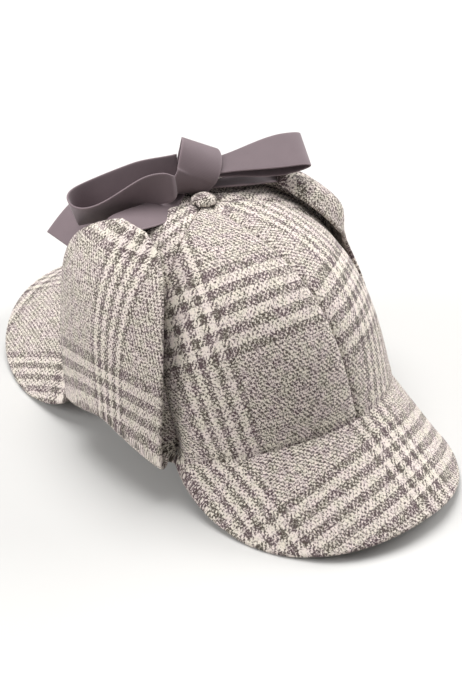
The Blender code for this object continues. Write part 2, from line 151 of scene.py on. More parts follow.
# Each brim: turn from the front, slope in the middle, added slope at its ends, how straight ahead
# it reaches, its outline's two powers, and how its check lies.
BRIM_COLUMNS = ("turn", "slope", "end_slope", "straightness", "fullness", "corner", "grain")
BRIMS = {
    "front_brim": dict(zip(BRIM_COLUMNS, (
        0.0, radians(34.6), radians(9.5), 0.76, 3.45, 1.71,
        grain(-0.0864, 0.13995, 0.00237, -0.00509, -1.119, 1.039, 2.8, -14.5)))),
    "back_brim": dict(zip(BRIM_COLUMNS, (
        pi, radians(28.8), radians(24.8), 0.62, 3.35, 1.71,
        grain(-0.15, 0, 0, 0, 1.24, 0.85, 28.2, 63.7)))),
}

# Each flap, from its fold upwards: rise on the crown, front and back edge (degrees from the front),
# and how far it stands off the crown at its front and its back edge (mm).
FLAP_RISE, FLAP_FRONT, FLAP_BACK, FLAP_FRONT_GAP, FLAP_BACK_GAP = range(5)
RIGHT_FLAP = (
    (0, 66.6, 113.0, 6.8, 6.4),
    (12, 63.5, 115.5, 8.8, 5.9),
    (25, 62.0, 117.5, 9.8, 6.8),
    (40, 62.0, 119.0, 11.0, 11.0),
    (50, 63.5, 116.5, 12.0, 13.4),
    (57, 68.0, 109.5, 12.5, 13.4),
    (61, 75.0, 104.0, 13.0, 13.6),
    (63, 81.0, 100.0, 13.5, 13.8),
)
LEFT_FLAP = (
    (0, 67.0, 113.0, 6.8, 6.8),
    (12, 73.0, 115.5, 6.2, 6.2),
    (25, 76.0, 117.5, 7.5, 7.5),
    (38, 69.0, 117.5, 15.4, 11.0),
    (50, 68.5, 117.0, 14.6, 12.0),
    (56, 72.5, 113.0, 11.6, 11.0),
    (60, 78.0, 107.0, 10.4, 10.0),
    (62, 84.0, 102.0, 10.0, 9.6),
)
FLAPS = (("right", RIGHT_FLAP, 1), ("left", LEFT_FLAP, -1))
FLAP_GRAIN = {
    "right": grain(0.0112, -0.0069, 0.00308, -0.00983, 1.664, 0.992, 30.8, 0.7, 0.0150),
    "left": grain(0, 0, 0, 0, 1, 1, 16.0, -8.5),
}
# How much each flap's front edge curls in towards the crown, as a share of its gap there, over what
# share of its width, the rise at which the curl starts and is full (degrees), and the gap that a
# full curl leaves (mm).
FLAP_CURL, CURL_WIDTH, CURL_RISE, FLAP_TOUCH = {"right": 0.0, "left": 0.9}, 0.10, (15, 35), 4.0

# The bow: its middle, and the level directions along it and to its back.
KNOT_CENTRE = np.array((1.0, 27.4, 116.8)) * MM
BOW_ALONG = np.array((0.920, -0.392, 0.0))
BOW_BACK = np.array((0.392, 0.920, 0.0))

# The knot: its reach above, below, before and behind its middle, how far it is moved to the right,
# how much it leans along the bow above and below its middle, and how its upper half leans back.
KNOT_HALF_HEIGHT, KNOT_DROP, KNOT_HALF_DEPTH, KNOT_BACK_DEPTH = 0.0122, 0.0106, 0.0070, 0.0049
KNOT_SHIFT, KNOT_SKEW, KNOT_LOW_SKEW, KNOT_LEAN = 0.0014, 0.56, 0.80, 0.50
# The powers that square its section off, the turn left open where its ends meet, its ribbon's tilt
# and the change of it (degrees), and its ribbon's width: in the middle, above and at the front.
KNOT_FLAT, KNOT_STEEP, KNOT_OPEN = 0.8, 0.9, radians(5)
KNOT_TILT, KNOT_WIDTH = (14, 14), (0.97, 0.14, 0.17)
# The ribbon gathered inside the knot: its half length, its share of the knot, how blunt and how far
# round its ends are, and the number, turn and depth of its pleats.
GATHER_REACH, GATHER_SHARE, GATHER_BLUNTNESS, GATHER_END = 0.0080, 0.88, 0.35, 1.45
GATHER_PLEATS = (7, 1.3, 0.05)

# Each loop: its side, its reach, how far its end drops and sweeps back, its half opening, its lean
# at the knot and at its end, how much its root is raised, its root's share of the ribbon's width,
# and the length over which it spreads to its full width.
LOOP_COLUMNS = ("direction", "reach", "drop", "sweep", "opening",
                "lean", "end_lean", "root_lift", "root_width", "spread")
LOOPS = {
    "right": dict(zip(LOOP_COLUMNS, (
        -1, 0.0660, 0.0147, 0.0030, 0.0054, radians(12), radians(-16), 0.0027, 0.78, 0.022))),
    "left": dict(zip(LOOP_COLUMNS, (
        1, 0.0624, -0.0020, 0.0000, 0.0031, radians(60), radians(60), 0.0, 0.48, 0.044))),
}
# Where the loops' roots lie, half the gap between their two sides there, the powers of their round
# end and of their drop, how much fuller they are near the knot, how far their sides lean apart, and
# how much their ends slant out.
LOOP_ROOT, LOOP_ROOT_GAP = 0.0085, 0.0016
LOOP_ROUND, LOOP_DROOP, LOOP_BELLY = 0.75, 1.25, 0.10
LOOP_FLARE, LOOP_SLANT = {"right": radians(26), "left": 0.0}, {"right": 0.32, "left": 0.0}
# How far along the bow, forward and down the right loop's near side is set at the knot, and the
# share of its reach over which it turns back there in a round fold.
NEAR_OUT, NEAR_FORWARD, NEAR_DROP, NEAR_FOLD = 0.0030, 0.0100, 0.0055, 0.09
# How much that side is gathered at the knot, and over what share of its reach.
NEAR_GATHER, NEAR_ROUND = 0.75, 0.15

# Loose stretches of ribbon, point by point: place and width (mm) and lean on edge (degrees).
TAILS = {
    "right": (
        (-3.7, 32.4, 112.2, 6, 75),
        (-9.0, 35.9, 111.5, 7, 70),
        (-13, 46.5, 109.8, 13, 35),
        (-26, 59.5, 103, 19, 15),
        (-43, 65.5, 94.3, 21, 12),
        (-61, 66, 81, 21, 12),
    ),
    "left": (
        (8.7, 26.6, 110.3, 6.0, 0),
        (15.0, 27.0, 110.0, 7, 0),
        (22.5, 33, 109.2, 12, 0),
        (31, 47, 104, 19, 0),
        (42, 60, 95, 21, 0),
        (54, 70, 82, 21, 0),
    ),
}
TIE_ENDS = {
    "right": (
        (-30.5, 24.0, 104.4, 18, -12),
        (-19.5, 26.8, 104.2, 14, -14),
        (-12.0, 28.0, 104.4, 8, 0),
        (-4.9, 29.4, 107.2, 5.0, 0),
    ),
    "left": (
        (30, 16.5, 106.8, 18, 0),
        (14, 20, 107.8, 9, 0),
        (6.5, 22.8, 108.0, 5.5, 0),
    ),
}
# How far each tie hangs clear of its flap's inner face, and its turn and rises there (degrees).
TIE_HOLLOW, TIE_TURN, TIE_RISES = 0.0022, {"right": 101, "left": 94}, (50.0, 56.0, 62.0)


# --- What a user would change ---------------------------------------------------------------------
class HatSizes(bpy.types.PropertyGroup):
    """Sizes of the hat's pieces."""

    rim_half_width: FloatProperty(
        name="Rim Half Width", description="From the middle of the head opening to its side",
        default=0.0810, unit="LENGTH")
    rim_half_length: FloatProperty(
        name="Rim Half Length", description="From the middle of the head opening to its front",
        default=0.0970, unit="LENGTH")
    crown_height: FloatProperty(
        name="Crown Height", description="From the rim's lowest corners to the crown's top",
        default=0.1043, unit="LENGTH")
    crown_wall: FloatProperty(
        name="Crown Cloth", description="Thickness of the crown's cloth",
        default=0.002, unit="LENGTH")
    front_brim_reach: FloatProperty(
        name="Front Brim Reach", description="Width of the front brim in its middle",
        default=0.0637, unit="LENGTH")
    back_brim_reach: FloatProperty(
        name="Back Brim Reach", description="Width of the back brim in its middle",
        default=0.0665, unit="LENGTH")
    brim_thickness: FloatProperty(
        name="Brim Thickness", description="Two layers of cloth and the stiffened one between",
        default=0.003, unit="LENGTH")
    flap_thickness: FloatProperty(
        name="Flap Thickness", description="Two layers of cloth",
        default=0.0025, unit="LENGTH")
    ribbon_width: FloatProperty(
        name="Ribbon Width", description="Width of the ribbon where it lies flat",
        default=0.021, unit="LENGTH")
    ribbon_thickness: FloatProperty(
        name="Ribbon Thickness", description="Thickness of the ribbon",
        default=0.001, unit="LENGTH")


class HatCloth(bpy.types.PropertyGroup):
    """Weave and colours of the hat's cloth."""

    warp_spacing: FloatProperty(
        name="Warp Spacing", description="From one lengthwise yarn to the next, in millimetres",
        default=0.6333, min=0.2, max=3.0)
    weft_spacing: FloatProperty(
        name="Weft Spacing", description="From one crosswise yarn to the next, in millimetres",
        default=0.8333, min=0.2, max=3.0)
    dark_yarn: FloatVectorProperty(
        name="Dark Yarn", description="Colour of the tweed's dark yarn",
        default=rgb("#4D4341"), subtype="COLOR", min=0, max=1)
    light_yarn: FloatVectorProperty(
        name="Light Yarn", description="Colour of the tweed's light yarn",
        default=rgb("#D8CEC5"), subtype="COLOR", min=0, max=1)
    ribbon: FloatVectorProperty(
        name="Ribbon", description="Colour of the ribbon",
        default=rgb("#6E6064"), subtype="COLOR", min=0, max=1)
    floor: FloatVectorProperty(
        name="Floor", description="Colour of the stage's floor",
        default=rgb("#C8C7C5"), subtype="COLOR", min=0, max=1)


def sizes():
    """The hat's sizes."""
    return bpy.context.scene.hat_sizes


def cloth():
    """The cloth's weave and colours."""
    return bpy.context.scene.hat_cloth


# --- The hat's surfaces ---------------------------------------------------------------------------
def xyz(x, y, z):
    """Points from their coordinates, which may be arrays of unlike shapes."""
    return np.stack(np.broadcast_arrays(x, y, z), axis=-1).astype(float)


def unit(vectors):
    """The vectors at length 1."""
    return vectors / np.maximum(np.linalg.norm(vectors, axis=-1, keepdims=True), 1e-12)


def rim_height(turn):
    """Height of the rim: arched over both brims and over both sides, lowest at their corners."""
    ahead = np.hypot(np.cos(turn), RIM_SOFTNESS)
    corner = cos(BRIM_HALF_TURN)
    rises = []
    for value in ((ahead - corner) / (1 - corner), (corner - ahead) / corner):
        rises.append((value + np.hypot(value, RIM_SOFTNESS)) / 2)
    tilt = -sizes().rim_half_length * np.cos(turn) * tan(RIM_TILT)
    return RIM_ARCH * rises[0] + RIM_SIDE_RISE * rises[1] + tilt - RIM_CORNER_DROP


def crown_form(turn, rise):
    """Smooth form of the crown, without the fullness of its panels."""
    shrink = np.maximum(np.cos(rise), 0.0) ** (2 / CROWN_PLAN_ROUNDNESS)
    lift = np.sin(rise) ** (2 / CROWN_SIDE_ROUNDNESS)
    shrink = shrink * (1 - 4 * CROWN_TAPER * lift * (1 - lift))
    return xyz(
        -sizes().rim_half_width * shrink * np.sin(turn) + CROWN_TOP[0] * lift,
        -sizes().rim_half_length * shrink * np.cos(turn) + CROWN_TOP[1] * lift,
        rim_height(turn) * (1 - lift) + sizes().crown_height * lift,
    )


def surface_normal(surface, u, v, step=0.01):
    """Unit normals of surface(u, v), from its neighbouring points."""
    along = surface(u + step, v) - surface(u - step, v)
    across = surface(u, v + step) - surface(u, v - step)
    return unit(np.cross(along, across))


def off_crown(turn, rise, distance):
    """Points that far outside the crown's smooth form."""
    turn, rise, distance = np.broadcast_arrays(turn, rise, distance)
    normal = -surface_normal(crown_form, turn, np.clip(rise, radians(2), radians(86)))
    return crown_form(turn, rise) + normal * distance[..., None]


def rim_outward(turn):
    """Level directions square to the rim, pointing out."""
    return unit(xyz(-np.sin(turn) * sizes().rim_half_length,
                    -np.cos(turn) * sizes().rim_half_width, 0.0))


def wall_lean(turn, height):
    """How far the crown leans out over its rim at a small height above it."""
    lean = rim_outward(turn) @ np.array((*CROWN_TOP, 0.0))
    return np.maximum(0.0, lean / sizes().crown_height * height * FOOT_LEAN)


def panel_span(index):
    """The turns at which a panel starts and ends."""
    start, end = PANELS[index][1], PANELS[(index + 1) % len(PANELS)][1]
    return radians(start), radians(end if end > start else end + 360)


def fullness_at(turn, rise):
    """How far the panels swell out between their seams."""
    swell = np.zeros(np.broadcast(turn, rise).shape)
    for index in range(len(PANELS)):
        start, end = panel_span(index)
        place = (turn - start) % (2 * pi) / (end - start)
        swell = np.where(place <= 1, PANEL_FULLNESS * np.sin(pi * place) * np.cos(rise), swell)
    return swell


def smooth_rows(table, keys, places):
    """Rows of the table at those places along its keys, on a smooth curve through its rows."""
    table, keys = np.array(table, float), np.array(keys, float)
    places = np.clip(places, keys[0], keys[-1])
    index = np.clip(np.searchsorted(keys, places, side="right") - 1, 0, len(keys) - 2)
    before, start = table[np.maximum(index - 1, 0)], table[index]
    end, after = table[index + 1], table[np.minimum(index + 2, len(keys) - 1)]
    part = ((places - keys[index]) / (keys[index + 1] - keys[index]))[..., None]
    return 0.5 * (
        2 * start + (end - before) * part
        + (2 * before - 5 * start + 4 * end - after) * part ** 2
        + (3 * start - before - 3 * end + after) * part ** 3
    )


# --- From a flat cut to a bent piece --------------------------------------------------------------
# Places along a cloth or ribbon, close enough together to measure its length by.
FINE = np.linspace(0, 1, 3001)
# How many times a cut is eased towards its true lengths, and by what share of what is missing.
LAY_ROUNDS, LAY_SHARE = 900, 0.28


def run_length(points, axis):
    """Length along a grid's rows or columns, from its first point."""
    steps = np.linalg.norm(np.diff(points, axis=axis), axis=-1)
    start = np.zeros_like(np.take(steps, [0], axis=axis))
    return np.cumsum(np.concatenate((start, steps), axis=axis), axis=axis)


def spaced(length, edge, count, steps=5):
    """Places from 0 to 1 along each length: close at both rounded edges and even between them."""
    length = np.atleast_1d(np.asarray(length, float))[:, None]
    edge = np.minimum(edge, 0.3 * length)
    near = edge * (1 - np.cos(np.linspace(0, pi / 2, steps)))
    middle = edge + (length - 2 * edge) * np.linspace(0, 1, count)[1:-1]
    return np.concatenate((near, middle, length - near[:, ::-1]), axis=1) / length


def eased(share):
    """A share from 0 to 1, easing in and out."""
    return share * share * (3 - 2 * share)


def ridge(distance, height, place, width):
    """A low round ridge along a seam or edge, or a groove where its height is below 0."""
    return height * np.exp(-((distance - place) / width) ** 2)


def lay_flat(surface, start, check, columns=25, rows=29):
    """Where each place of a bent cloth lies on its flat cut, in millimetres along weft and warp.

    The cut starts from start(points) and relaxes until its lengths are those of the bent cloth. The
    result is a function of the places u and v, the cut's width and length, and its area.
    """
    points = surface(np.linspace(0, 1, columns)[None, :], np.linspace(0, 1, rows)[:, None])
    flat = start(points)
    ends = (
        (np.s_[:, :-1], np.s_[:, 1:]), (np.s_[:-1, :], np.s_[1:, :]),
        (np.s_[:-1, :-1], np.s_[1:, 1:]), (np.s_[:-1, 1:], np.s_[1:, :-1]),
    )
    lengths = [np.linalg.norm(points[b] - points[a], axis=-1) for a, b in ends]
    for _ in range(LAY_ROUNDS):
        move = np.zeros_like(flat)
        for (a, b), length in zip(ends, lengths):
            apart = flat[b] - flat[a]
            now = np.maximum(np.linalg.norm(apart, axis=-1), 1e-9)
            pull = apart * ((now - length) / now * 0.5)[..., None]
            move[a] += pull
            move[b] -= pull
        flat += LAY_SHARE * move
    middle = columns // 2
    ahead = unit(flat[-1, middle] - flat[0, middle])
    flat = (flat - flat[0, middle]) @ np.array(((ahead[1], ahead[0]), (-ahead[0], ahead[1])))
    cells = np.cross(flat[1:, 1:] - flat[:-1, :-1], flat[1:, :-1] - flat[:-1, 1:]) / 2
    width, length = np.ptp(flat[..., 0]), np.ptp(flat[..., 1])
    across, along = flat[..., 0] / MM, flat[..., 1] / MM
    warp = across - along * (check["warp_lean"] + check["warp_fan"] * across)
    climb = check["weft_climb"] + check["weft_bow"] * across / 2
    weft = along - across * climb * (1 - check["bow_fade"] * along)
    turned = np.stack((warp * check["ease_across"] + check["warp_shift"],
                       weft * check["ease_along"] + check["weft_shift"]), axis=-1)

    def place(u, v):
        u, v = np.broadcast_arrays(u * (columns - 1), v * (rows - 1))
        i = np.clip(u.astype(int), 0, columns - 2)
        j = np.clip(v.astype(int), 0, rows - 2)
        a, b = (u - i)[..., None], (v - j)[..., None]
        low = turned[j, i] * (1 - a) + turned[j, i + 1] * a
        high = turned[j + 1, i] * (1 - a) + turned[j + 1, i + 1] * a
        return low * (1 - b) + high * b

    return place, (float(width), float(length)), float(abs(cells.sum()))


def outline_distance(points):
    """Distance of each point of a grid from the grid's outline."""
    ring = np.concatenate((points[0, :-1], points[:-1, -1], points[-1, :0:-1], points[:0:-1, 0]))
    following = np.roll(ring, -1, axis=0)
    dense = np.concatenate([ring + (following - ring) * part for part in np.arange(0, 1, 0.25)])
    tree = KDTree(len(dense))
    for index, point in enumerate(dense):
        tree.insert(point, index)
    tree.balance()
    flat = points.reshape(-1, 3)
    return np.array([tree.find(point)[2] for point in flat]).reshape(points.shape[:2])


def stand_matrix():
    """Stands the hat's own directions on the floor as its solids stand, set by the button."""
    tilt = Matrix.Rotation(-REST_TILT, 4, "X")
    low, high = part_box("crown_button")
    button = Vector((*CROWN_TOP, sizes().crown_height + BUTTON_LIFT + BUTTON_HEIGHT / 2))
    return Matrix.Translation((low + high) / 2 - tilt @ button) @ tilt


def add_piece(name, vertices, faces, uvs, material):
    """A mesh piece in the hat's own directions, with the place of each vertex on its flat cut."""
    mesh = bpy.data.meshes.new(name)
    mesh.from_pydata([tuple(vertex) for vertex in vertices], [], faces)
    mesh.transform(stand_matrix())
    layer = mesh.uv_layers.new(name="cut")
    corners = np.zeros(len(mesh.loops), int)
    mesh.loops.foreach_get("vertex_index", corners)
    layer.data.foreach_set("uv", np.asarray(uvs, float)[corners].ravel())
    mesh.materials.append(material)
    mesh.shade_smooth()
    piece = bpy.data.objects.new(name, mesh)
    bpy.context.scene.collection.objects.link(piece)
    return piece


def grid_normals(points):
    """Unit normals of a grid of points."""
    return unit(np.cross(np.gradient(points, axis=1), np.gradient(points, axis=0)))


def cloth_piece(name, surface, thickness, columns, rows, place, material, relief=None, outside=1,
                edge=None):
    """A piece of cloth with rounded edges round surface(u, v), the middle of its thickness.

    place(u, v) is its flat cut in millimetres, relief(u, v, points) raises its face by that much,
    outside is 1 or -1 for the side that faces out, and edge is how far in its edges are rounded.
    """
    edge = edge or thickness / 2
    run = run_length(surface(np.full((1, 1), 0.5), FINE[:, None]), 0)[:, 0]
    v = np.interp(spaced(run[-1], edge, rows)[0] * run[-1], run, FINE)[:, None]
    samples = surface(np.linspace(0, 1, 33)[None, :], v)
    u = spaced(run_length(samples, 1)[:, -1], edge, columns)
    v = np.broadcast_to(v, u.shape)
    points = surface(u, v)
    if relief:
        points = points + grid_normals(points) * outside * relief(u, v, points)[..., None]
    normals = grid_normals(points) * outside
    near = np.minimum(outline_distance(points) / edge, 1.0)
    half = (thickness / 2 * np.sqrt(np.maximum(1 - (1 - near) ** 2, 0)))[..., None]
    half[[0, -1], :] = 0
    half[:, [0, -1]] = 0
    count_v, count_u = u.shape
    top = np.arange(count_v * count_u).reshape(count_v, count_u)
    inner = np.arange((count_v - 2) * (count_u - 2)).reshape(count_v - 2, count_u - 2)
    bottom = top.copy()
    bottom[1:-1, 1:-1] = inner + top.size
    vertices = np.concatenate(((points + normals * half).reshape(-1, 3),
                               (points - normals * half)[1:-1, 1:-1].reshape(-1, 3)))
    faces = []
    for grid, flip in ((top, outside < 0), (bottom, outside > 0)):
        quads = np.stack((grid[:-1, :-1], grid[:-1, 1:], grid[1:, 1:], grid[1:, :-1]), axis=-1)
        faces += (quads[..., ::-1] if flip else quads).reshape(-1, 4).tolist()
    uv = place(u, v)
    uvs = np.concatenate((uv.reshape(-1, 2), uv[1:-1, 1:-1].reshape(-1, 2)))
    return add_piece(name, vertices, faces, uvs, material)


def dress(piece, node):
    """Let a piece stand for its solid."""
    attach(piece, "root")
    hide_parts(node)


# --- Materials ------------------------------------------------------------------------------------
# The cloth's patterns lie on its flat cut, in millimetres, so a noise's scale counts its bumps a
# millimetre. Most tweeds have yarns about 0.4 mm apart, too fine to show: these are drawn 0.63 and
# 0.83 mm apart. Yarns in a broad stripe, in a group of nine stripes, and in the whole check:
STRIPE_YARNS, GROUP_YARNS, WARP_REPEAT, WEFT_REPEAT = 6, 54, 142, 120
# How far single yarns and whole stripes wander (mm), and how much stray hairs and thick and thin
# places change a yarn's shade.
YARN_WANDER, STRIPE_WANDER, HAIRINESS, SLUB_SHADE = 3.4, 1.5, 1.0, 0.25
# Red, green and blue of the mauve and the olive fibres' shares in each yarn.
LIGHT_FIBRES = ((1.01, 0.98, 1.01), (0.99, 1.01, 0.96))
DARK_FIBRES = ((1.10, 0.92, 1.10), (0.97, 1.04, 0.88))
# From one of the ribbon's ribs to the next, and how far in from its edges the highlight painted
# along its selvedge starts to turn paler and is palest (mm).
RIB_SPACING, EDGE_HIGHLIGHT_START, EDGE_HIGHLIGHT_FULL = 0.7, 1.1, 0.5


def add_node(tree, kind, inputs=None, **settings):
    """Add a node with its settings; inputs are values, or nodes or sockets to link from."""
    node = tree.nodes.new(kind)
    for key, value in settings.items():
        setattr(node, key, value)
    for key, value in (inputs or {}).items():
        if isinstance(value, bpy.types.Node):
            tree.links.new(value.outputs[0], node.inputs[key])
        elif isinstance(value, bpy.types.NodeSocket):
            tree.links.new(value, node.inputs[key])
        else:
            node.inputs[key].default_value = value
    return node


def new_material(name):
    """An empty node material, its tree and its shader."""
    material = bpy.data.materials.new(name)
    material.use_nodes = True
    tree = material.node_tree
    tree.nodes.clear()
    shader = add_node(tree, "ShaderNodeBsdfPrincipled")
    add_node(tree, "ShaderNodeOutputMaterial", {"Surface": shader})
    return material, tree, shader


def heathered(colour, fibres):
    """A yarn's colour with the shares of its fibres in it."""
    return (*[min(1.0, part * share) for part, share in zip(colour, fibres)], 1.0)


def woven_tweed(name):
    """Wool tweed, woven in a 2/2 twill from hand-spun yarns and left unshorn.

    Groups of five dark and four light stripes, six yarns each, lie both ways on a ground of single
    dark and light yarns. The uneven yarns break the ground up into a zigzag speckle, the hairs blur
    the check's edges, and the wool is matt with a faint bloom where it is seen edge on.
    """
    material, tree, shader = new_material(name)
    math, vector = "ShaderNodeMath", "ShaderNodeVectorMath"
    place = add_node(tree, "ShaderNodeUVMap", uv_map="cut")
    bends = add_node(tree, "ShaderNodeTexNoise", {"Vector": place, "Scale": 0.8, "Detail": 2.0})
    bends = add_node(tree, vector, {0: bends.outputs["Color"], 1: (0.5, 0.5, 0.5)},
                     operation="SUBTRACT")
    axes = []
    for wander in (YARN_WANDER, STRIPE_WANDER):
        loose = add_node(tree, vector, {0: bends, "Scale": wander}, operation="SCALE")
        loose = add_node(tree, vector, {0: place, 1: loose}, operation="ADD")
        axes.append(add_node(tree, "ShaderNodeSeparateXYZ", {0: loose}))
    yarns, shades = [], []
    for axis, spacing, repeat in ((0, cloth().warp_spacing, WARP_REPEAT),
                                  (1, cloth().weft_spacing, WEFT_REPEAT)):
        run = add_node(tree, math, {0: axes[0].outputs[axis], 1: spacing}, operation="DIVIDE")
        yarn = add_node(tree, math, {0: run}, operation="FLOOR")
        within = add_node(tree, math, {0: axes[1].outputs[axis], 1: spacing}, operation="DIVIDE")
        within = add_node(tree, math, {0: within, 1: repeat}, operation="FLOORED_MODULO")
        stripe = add_node(tree, math, {0: within, 1: 2 * STRIPE_YARNS}, operation="FLOORED_MODULO")
        stripe = add_node(tree, math, {0: stripe, 1: STRIPE_YARNS}, operation="LESS_THAN")
        single = add_node(tree, math, {0: yarn, 1: 2}, operation="FLOORED_MODULO")
        single = add_node(tree, math, {0: single, 1: 1}, operation="LESS_THAN")
        grouped = add_node(tree, math, {0: within, 1: GROUP_YARNS}, operation="LESS_THAN")
        shades.append(add_node(tree, "ShaderNodeMix", {0: grouped, 2: single, 3: stripe}))
        yarns.append((run, yarn))
    diagonal = add_node(tree, math, {0: yarns[0][1], 1: yarns[1][1]}, operation="ADD")
    diagonal = add_node(tree, math, {0: diagonal, 1: 4}, operation="FLOORED_MODULO")
    warp_up = add_node(tree, math, {0: diagonal, 1: 2}, operation="LESS_THAN")
    darkness = add_node(tree, "ShaderNodeMix", {0: warp_up, 2: shades[1], 3: shades[0]})

    # Stray hairs of the other shade, and thick and thin places in each yarn.
    hairs = add_node(tree, "ShaderNodeTexNoise", {"Vector": place, "Scale": 0.95, "Detail": 4.0,
                                                  "Roughness": 0.65})
    hairs = add_node(tree, "ShaderNodeMapRange", {
        "Value": hairs, "From Min": 0.3, "From Max": 0.7, "To Min": -HAIRINESS,
        "To Max": HAIRINESS})
    slubs = add_node(tree, "ShaderNodeTexNoise", {"Vector": place, "Scale": 0.3, "Detail": 2.0})
    slubs = add_node(tree, "ShaderNodeMapRange", {
        "Value": slubs, "From Min": 0.3, "From Max": 0.7, "To Min": -SLUB_SHADE,
        "To Max": SLUB_SHADE})
    uneven = add_node(tree, math, {0: hairs, 1: slubs}, operation="ADD")
    darkness = add_node(tree, math, {0: darkness, 1: uneven}, operation="ADD", use_clamp=True)

    # Mauve and olive fibres are carded into both yarns.
    tint = add_node(tree, "ShaderNodeTexNoise", {"Vector": place, "Scale": 0.13, "Detail": 4.0})
    tint = add_node(tree, "ShaderNodeMapRange", {"Value": tint, "From Min": 0.4, "From Max": 0.6})
    pair = []
    for wool, (mauve, olive) in ((cloth().light_yarn, LIGHT_FIBRES),
                                 (cloth().dark_yarn, DARK_FIBRES)):
        pair.append(add_node(tree, "ShaderNodeMix", {
            0: tint, 6: heathered(wool, mauve), 7: heathered(wool, olive)},
            data_type="RGBA").outputs[2])
    colour = add_node(tree, "ShaderNodeMix", {0: darkness, 6: pair[0], 7: pair[1]},
                      data_type="RGBA")
    tree.links.new(colour.outputs[2], shader.inputs["Base Color"])

    # Each float of the twill stands a little proud, under a hairy nap.
    floats = add_node(tree, math, {0: yarns[0][0], 1: yarns[1][0]}, operation="ADD")
    floats = add_node(tree, math, {0: floats, 1: pi / 2}, operation="MULTIPLY")
    floats = add_node(tree, math, {0: floats}, operation="SINE")
    nap = add_node(tree, "ShaderNodeTexNoise", {"Vector": place, "Scale": 2.2, "Detail": 4.0})
    height = add_node(tree, math, {0: floats, 1: 0.2, 2: nap}, operation="MULTIPLY_ADD")
    bump = add_node(tree, "ShaderNodeBump", {"Height": height, "Strength": 0.6,
                                             "Distance": 0.4 * MM})
    tree.links.new(bump.outputs[0], shader.inputs["Normal"])
    shader.inputs["Roughness"].default_value = 0.95
    shader.inputs["Specular IOR Level"].default_value = 0.2
    shader.inputs["Sheen Weight"].default_value = 0.12
    shader.inputs["Sheen Roughness"].default_value = 0.6
    return material


def ribbed_ribbon(name):
    """Viscose grosgrain, woven with fine cross ribs: dull and softly silky, with a highlight
    painted pale along its edges.
    """
    material, tree, shader = new_material(name)
    math = "ShaderNodeMath"
    place = add_node(tree, "ShaderNodeUVMap", uv_map="cut")
    axes = add_node(tree, "ShaderNodeSeparateXYZ", {0: place})
    ribs = add_node(tree, math, {0: axes.outputs[1], 1: 2 * pi / RIB_SPACING}, operation="MULTIPLY")
    ribs = add_node(tree, math, {0: ribs}, operation="SINE")
    cloudy = add_node(tree, "ShaderNodeTexNoise", {"Vector": place, "Scale": 0.09, "Detail": 3.0})
    fibres = add_node(tree, "ShaderNodeTexNoise", {"Vector": place, "Scale": 2.0, "Detail": 2.0})
    inside = add_node(tree, math, {0: axes.outputs[0]}, operation="ABSOLUTE")
    half_width = sizes().ribbon_width / MM / 2
    # Painted highlight: the ribbon's colour turns paler towards both of its edges.
    edge_highlight = add_node(tree, "ShaderNodeMapRange", {
        "Value": inside, "From Min": half_width - EDGE_HIGHLIGHT_START,
        "From Max": half_width - EDGE_HIGHLIGHT_FULL})
    # Cloudy places, fibres, ribs and the highlight painted pale along the selvedge each change the
    # shade a little.
    shade = add_node(tree, math, {0: cloudy, 1: 0.22, 2: 0.84}, operation="MULTIPLY_ADD")
    shade = add_node(tree, math, {0: fibres, 1: 0.10, 2: shade}, operation="MULTIPLY_ADD")
    shade = add_node(tree, math, {0: ribs, 1: 0.02, 2: shade}, operation="MULTIPLY_ADD")
    shade = add_node(tree, math, {0: edge_highlight, 1: 0.22, 2: shade}, operation="MULTIPLY_ADD")
    colour = add_node(tree, "ShaderNodeVectorMath", {0: tuple(cloth().ribbon), "Scale": shade},
                      operation="SCALE")
    tree.links.new(colour.outputs[0], shader.inputs["Base Color"])
    bump = add_node(tree, "ShaderNodeBump", {"Height": ribs, "Strength": 0.15,
                                             "Distance": 0.12 * MM})
    tree.links.new(bump.outputs[0], shader.inputs["Normal"])
    shader.inputs["Roughness"].default_value = 0.62
    shader.inputs["Specular IOR Level"].default_value = 0.35
    shader.inputs["Sheen Weight"].default_value = 0.25
    shader.inputs["Sheen Roughness"].default_value = 0.4
    return material


def finish(maker):
    """The material that a maker builds, made once."""
    name = maker.__name__
    if name not in bpy.data.materials:
        maker(name)
    return bpy.data.materials[name]


# --- Pieces ---------------------------------------------------------------------------------------
# A gathered ribbon is drawn narrower and not pleated, so its cut's area counts as wide as it is
# drawn, but at least as this share of its full width.
LEAST_GATHERED = 0.66


def waves(points, height, size, seed):
    """Soft unevenness of that height, with bumps about that large."""
    flat = points.reshape(-1, 3) / size + seed
    bumps = np.array([noise.noise(Vector(point)) for point in flat])
    return height * bumps.reshape(points.shape[:2])


